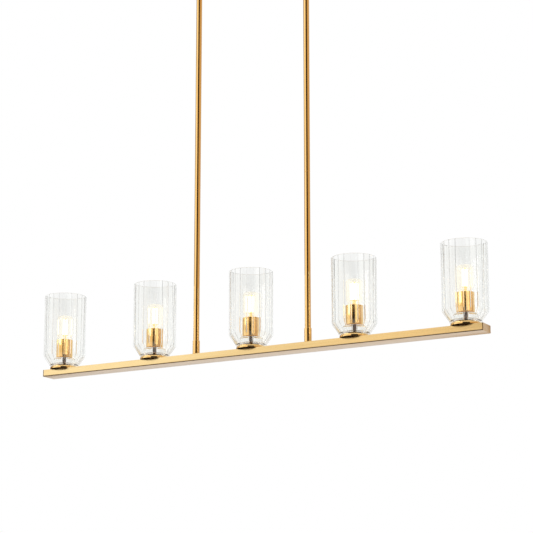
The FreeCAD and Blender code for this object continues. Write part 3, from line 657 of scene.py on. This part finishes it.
channel()
tray()
for side, sign in zip(SIDES, (-1, 1)):
    end_plate(side, sign)
knobs()
for side in SIDES:
    dress(BRASS, f"swivel_seat_{side}", f"swivel_ball_{side}", f"upper_rod_{side}",
          f"lower_rod_{side}")
    ferrule(side)
dress(CANOPY_BRASS, "canopy")
dress(ZINC, "mounting_strap", "swivel_nuts", "rod_couplers", "bar_nuts", "cover_screws")
dress(GREEN, "ground_screw")
dress(SILICONE, "shade_washers")
for index in LAMPS:
    dress(PORCELAIN, f"lampholder_{index}")
    saucer(index)
    nipple(index)
    shade(index)
    cup(index)
    screw_cap(index)
    envelope(index)
    filament(index)


# ---------------------------------------------------------------- studio
FLOOR_LEVEL = -2743 * MM  # a 9 ft ceiling above it
FLOOR_RADIUS = 30
FLOOR_GLOW = 0.95  # as metal and glass see it
FLOOR_SHARE = 0.6  # how much of that glow the camera sees, which leaves room for a shadow
CARD_DISTANCE = 6
CARD_LEVELS = (-4.5, 3)
CARD_PARTS = 8  # flat parts to a curved card
VIEW_TURN = math.radians(30.3)  # where the photograph is taken from, to the right of the front
GLASS_FACES = 4  # faces of glass that light crosses on its way to a cup and back
# Name, degrees from and to, strength in metal and in glass, tint, and whether it is for metal
# behind glass too. They go round to the right of the photograph's view, at 0 degrees.
CARDS = (
    ("card_black", -28, 25, 0.02, 0.1, "#FFFFFF", True),
    ("card_bright", -105, -66, 1.26, 1.0, "#FFFFFF", True),
    ("card_cream", -66, -50, 1.04, 0.6, "#FFF8EC", True),
    ("card_gold", -50, -28, 1.16, 0.3, "#FFF0DA", True),
    ("card_tan", 25, 95, 0.66, 0.6, "#FFDCB0", True),
    ("card_right", 95, 128, 0.78, 0.95, "#FFF4E6", False),
    ("card_back_left", -165, -105, 0.3, 0.97, "#FFD9A8", False),
    ("card_back_right", 128, 165, 0.6, 0.97, "#FFD9A8", False),
)


def card_material(name, strength, in_glass, tint, through):
    """Light that only reflections show: tinted and as bright as strength in metal, and as
    bright as in_glass in the glass. If through, metal behind glass sees it as metal does, and
    it doesn't show through clear glass."""
    material = bpy.data.materials.new(name)
    material.use_nodes = True
    tree = material.node_tree
    tree.nodes.clear()
    path = add(tree, "LightPath").outputs
    mirrored = add(tree, "Math", {0: path["Glossy Depth"], 1: 0.5},
                   operation="GREATER_THAN").outputs[0]
    outside = add(tree, "Math", {0: path["Transmission Depth"], 1: 0.5},
                  operation="LESS_THAN").outputs[0]
    bare = add(tree, "Math", {0: outside, 1: path["Is Singular Ray"]},
               operation="SUBTRACT").outputs[0]
    glossy = path["Is Glossy Ray"]
    if through:
        glossy = add(tree, "Math", {0: glossy, 1: mirrored}, operation="MULTIPLY").outputs[0]
        far = add(tree, "Math", {0: path["Transmission Depth"], 1: GLASS_FACES - 0.5},
                  operation="GREATER_THAN").outputs[0]
        once = add(tree, "Math", {0: path["Glossy Depth"], 1: 1.5},
                   operation="LESS_THAN").outputs[0]
        behind = add(tree, "Math", {0: far, 1: once}, operation="MULTIPLY").outputs[0]
        bare = add(tree, "Math", {0: bare, 1: behind}, operation="MAXIMUM").outputs[0]
    metal = add(tree, "Math", {0: mirrored, 1: bare}, operation="MULTIPLY",
                use_clamp=True).outputs[0]
    level = add(tree, "MapRange", {"Value": metal, "To Min": in_glass, "To Max": strength})
    hue = add(tree, "Mix", {0: metal, 6: colour("#FFFFFF"), 7: colour(tint)}, data_type="RGBA")
    light = add(tree, "Emission", {"Color": hue.outputs[2], "Strength": level.outputs[0]})
    seen = add(tree, "Math", {0: metal, 1: glossy}, operation="MAXIMUM")
    clear = add(tree, "BsdfTransparent")
    mixed = add(tree, "MixShader", {0: seen.outputs[0], 1: clear.outputs[0],
                                    2: light.outputs[0]})
    add(tree, "OutputMaterial", {"Surface": mixed.outputs[0]})
    return material


def card(name, first, last, strength, in_glass, tint, through):
    """A card on a ring round the lamp, by degrees to the right of the photograph's view."""
    low, high = CARD_LEVELS
    shape = bmesh.new()
    ends = []
    for part in range(CARD_PARTS + 1):
        turn = VIEW_TURN + math.radians(first + (last - first) * part / CARD_PARTS)
        across, away = math.sin(turn) * CARD_DISTANCE, -math.cos(turn) * CARD_DISTANCE
        ends.append(shape.verts.new((across, away, low)))
    base = [shape.edges.new(pair) for pair in zip(ends, ends[1:])]
    wall = bmesh.ops.extrude_edge_only(shape, edges=base)["geom"]
    lifted = [part for part in wall if isinstance(part, bmesh.types.BMVert)]
    bmesh.ops.translate(shape, vec=(0, 0, high - low), verts=lifted)
    made = new_object(name, shape, card_material(name, strength, in_glass, tint, through))
    for ray in ("camera", "diffuse", "shadow", "volume_scatter"):
        setattr(made, f"visible_{ray}", False)


def floor():
    """Pale floor, seen from above only. Metal reflects it as a lit studio floor."""
    shape = bmesh.new()
    bmesh.ops.create_circle(shape, cap_ends=True, radius=FLOOR_RADIUS, segments=64,
                            matrix=Matrix.Translation((0, 0, FLOOR_LEVEL)))
    material, tree, shader = new_material("pale_floor", Base_Color=colour("#EDEBE8"),
                                          Roughness=0.8)
    path = add(tree, "LightPath").outputs
    mirrored = add(tree, "Math", {0: path["Is Glossy Ray"], 1: path["Is Transmission Ray"]},
                   operation="MAXIMUM").outputs[0]
    glow = add(tree, "Emission", {"Color": colour("#F4EEE6"), "Strength": FLOOR_GLOW})
    pale = add(tree, "Math", {0: path["Is Camera Ray"], 1: FLOOR_SHARE}, operation="MULTIPLY")
    share = add(tree, "Math", {0: mirrored, 1: pale.outputs[0]}, operation="MAXIMUM")
    lit = add(tree, "MixShader", {0: share.outputs[0], 1: shader.outputs[0],
                                  2: glow.outputs[0]})
    below = add(tree, "NewGeometry").outputs["Backfacing"]
    clear = add(tree, "BsdfTransparent")
    shown = add(tree, "MixShader", {0: below, 1: lit.outputs[0], 2: clear.outputs[0]})
    tree.links.new(shown.outputs[0], tree.nodes["Material Output"].inputs["Surface"])
    new_object("floor", shape, material)


def world():
    """White where it is seen or mirrored, and a softer level where it lights."""
    sky = bpy.data.worlds.new("studio")
    bpy.context.scene.world = sky
    sky.use_nodes = True
    tree = sky.node_tree
    tree.nodes.clear()
    path = add(tree, "LightPath").outputs
    seen = path["Is Camera Ray"]
    for other in ("Is Glossy Ray", "Is Transmission Ray"):
        seen = add(tree, "Math", {0: seen, 1: path[other]}, operation="MAXIMUM").outputs[0]
    white = add(tree, "Background", {"Color": colour("#FFFFFF"), "Strength": 1})
    soft = add(tree, "Background", {"Color": colour("#FFFFFF"), "Strength": 0.6})
    mixed = add(tree, "MixShader", {0: seen, 1: soft.outputs[0], 2: white.outputs[0]})
    add(tree, "OutputWorld", {"Surface": mixed.outputs[0]})


def softbox(name, place, power, size=2.5):
    """A square lamp aimed at the bar, which metal doesn't mirror. Metres and watts."""
    data = bpy.data.lights.new(name, "AREA")
    data.shape = "SQUARE"
    data.size = size
    data.energy = power
    made = bpy.data.objects.new(name, data)
    bpy.context.collection.objects.link(made)
    made.location = place
    aim = Vector((0, 0, BAR_TOP)) - Vector(place)
    made.rotation_euler = aim.to_track_quat("-Z", "Y").to_euler()
    made.visible_glossy = False


for row in CARDS:
    card(*row)
floor()
world()
softbox("key_softbox", (-2.5, -3.0, 1.0), 60)
softbox("fill_softbox", (3.0, -2.0, 0.0), 25)

# ---------------------------------------------------------------- camera
CAMERA_PLACE = (1892.8, -3245.8, -720.5)  # mm from the middle of the bar's top
CAMERA_PITCH = 0.2079  # up from level, in radians
CAMERA_TURN = 0.5181
CAMERA_LENS = 108.55
CAMERA_SHIFT = 0.10  # as small as the photograph's framing allows


def camera():
    """The camera that was fitted to the photograph."""
    data = bpy.data.cameras.new("camera")
    data.sensor_width = 36
    data.lens = CAMERA_LENS
    data.shift_y = CAMERA_SHIFT
    data.clip_end = 100
    made = bpy.data.objects.new("camera", data)
    bpy.context.collection.objects.link(made)
    made.location = Vector(CAMERA_PLACE) * MM + Vector((0, 0, BAR_TOP))
    made.rotation_euler = (math.pi / 2 + CAMERA_PITCH, 0, CAMERA_TURN)
    bpy.context.scene.camera = made


camera()
bpy.context.scene.view_settings.view_transform = "Standard"
# Light crosses up to sixteen faces of glass where two shades and their bulbs overlap.
cycles = bpy.context.scene.cycles
cycles.glossy_bounces = 12
cycles.transmission_bounces = 20
cycles.max_bounces = 20
